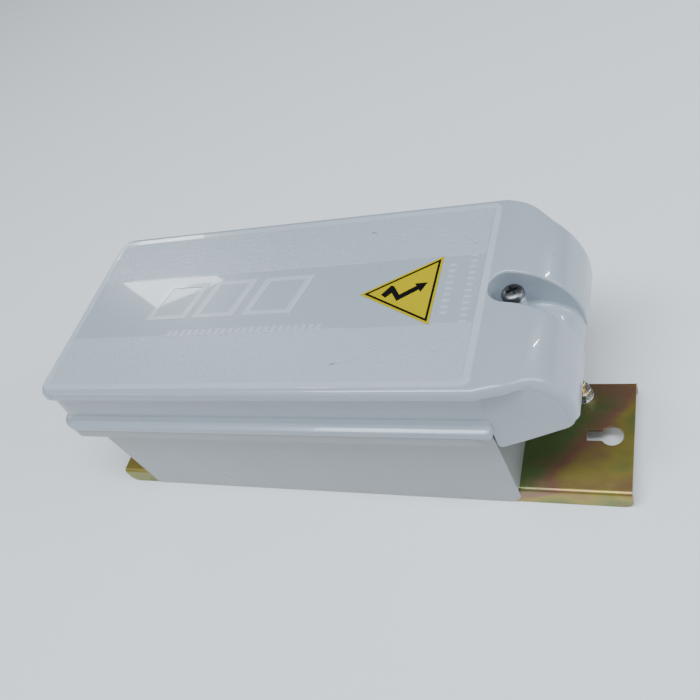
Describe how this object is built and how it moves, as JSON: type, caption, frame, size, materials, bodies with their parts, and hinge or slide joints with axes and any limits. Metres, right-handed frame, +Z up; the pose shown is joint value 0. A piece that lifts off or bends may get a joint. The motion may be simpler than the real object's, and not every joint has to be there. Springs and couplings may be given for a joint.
{
  "type": "enclosed neon sign transformer",
  "caption": "Enclosed transformer that drives a neon sign: resin-filled tub on a steel mounting channel, under a hinged plastic cover that shields the terminals.",
  "frame": {"origin": "middle of the footprint, on the surface the channel is fixed to", "axes": "+X towards the terminal end with the cover's nose, +Y across the cover towards its back, +Z up out of the mounting surface"},
  "size_m": [0.2654, 0.103, 0.0933],
  "materials": {
    "cover_plastic": "gloss with a fine-grained top panel",
    "tub_plastic": "satin",
    "channel_steel": "yellow-passivated zinc, iridescent",
    "label_yellow": "printed film",
    "screw_zinc": "dark zinc",
    "bright_steel": "zinc plated",
    "brass": "machined",
    "seal_rubber": "matt",
    "core_steel": "varnished laminations",
    "winding": "varnished tape over copper",
    "bobbin_plastic": "matt",
    "resin": "cast, slightly dull",
    "ceramic": "glazed"
  },
  "bodies": {
    "base": {"mounting_plate": "channel_steel", "base_tub": "tub_plastic", "rim_seal": "seal_rubber", "screw_insert": "brass", "hinge_pin_front": "bright_steel", "hinge_pin_back": "bright_steel", "core_frame": "core_steel", "shunt_a": "core_steel", "shunt_b": "core_steel", "primary_bobbin": "bobbin_plastic", "primary_coil": "winding", "secondary_bobbin_a": "bobbin_plastic", "secondary_coil_a": "winding", "secondary_bobbin_b": "bobbin_plastic", "secondary_coil_b": "winding", "core_bolt_1": "bright_steel", "core_bolt_2": "bright_steel", "core_bolt_3": "bright_steel", "core_bolt_4": "bright_steel", "core_nut_1": "bright_steel", "core_nut_2": "bright_steel", "core_nut_3": "bright_steel", "core_nut_4": "bright_steel", "potting_resin": "resin", "hv_bushing_a": "ceramic", "hv_bushing_b": "ceramic", "hv_stud_a": "brass", "hv_stud_b": "brass", "hv_washer_a": "bright_steel", "hv_washer_b": "bright_steel", "terminal_block": "bobbin_plastic", "terminal_sleeve_1": "brass", "terminal_sleeve_2": "brass", "terminal_sleeve_3": "brass", "block_screw_1": "bright_steel", "block_screw_2": "bright_steel", "cord_clamp": "bobbin_plastic", "clamp_screw_1": "bright_steel", "clamp_screw_2": "bright_steel", "earth_stud": "brass", "earth_washer": "bright_steel"},
    "cover": {"top_cover": "cover_plastic", "screw_washer": "bright_steel", "warning_label": "label_yellow"},
    "cover_screw": {"cover_screw": "screw_zinc"},
    "terminal_screw_1": {"terminal_screw_1": "bright_steel"},
    "terminal_screw_2": {"terminal_screw_2": "bright_steel"},
    "terminal_screw_3": {"terminal_screw_3": "bright_steel"},
    "hv_nut_a": {"hv_nut_a": "brass"},
    "hv_nut_b": {"hv_nut_b": "brass"},
    "earth_nut": {"earth_nut": "bright_steel"}
  },
  "joints": [
    {"name": "cover_hinge", "type": "hinge", "parent": "base", "child": "cover", "pos_m": [-0.1296, 0, 0.0622], "axis": [0, -1, 0], "range_deg": [0, 100]},
    {"name": "cover_screw_turn", "type": "hinge", "parent": "cover", "child": "cover_screw", "pos_m": [0.0951, 0, 0.08], "axis": [0, 0, 1], "continuous": true},
    {"name": "terminal_screw_1_turn", "type": "hinge", "parent": "base", "child": "terminal_screw_1", "pos_m": [0.0997, 0.016, 0.064], "axis": [0, 0, 1], "continuous": true},
    {"name": "terminal_screw_2_turn", "type": "hinge", "parent": "base", "child": "terminal_screw_2", "pos_m": [0.0997, 0.023, 0.064], "axis": [0, 0, 1], "continuous": true},
    {"name": "terminal_screw_3_turn", "type": "hinge", "parent": "base", "child": "terminal_screw_3", "pos_m": [0.0997, 0.03, 0.064], "axis": [0, 0, 1], "continuous": true},
    {"name": "hv_nut_a_turn", "type": "hinge", "parent": "base", "child": "hv_nut_a", "pos_m": [-0.0738, 0.026, 0.077], "axis": [0, 0, 1], "continuous": true},
    {"name": "hv_nut_b_turn", "type": "hinge", "parent": "base", "child": "hv_nut_b", "pos_m": [0.0262, 0.026, 0.077], "axis": [0, 0, 1], "continuous": true},
    {"name": "earth_nut_turn", "type": "hinge", "parent": "base", "child": "earth_nut", "pos_m": [0.1096, 0.0045, 0.013], "axis": [0, 0, 1], "continuous": true}
  ]
}
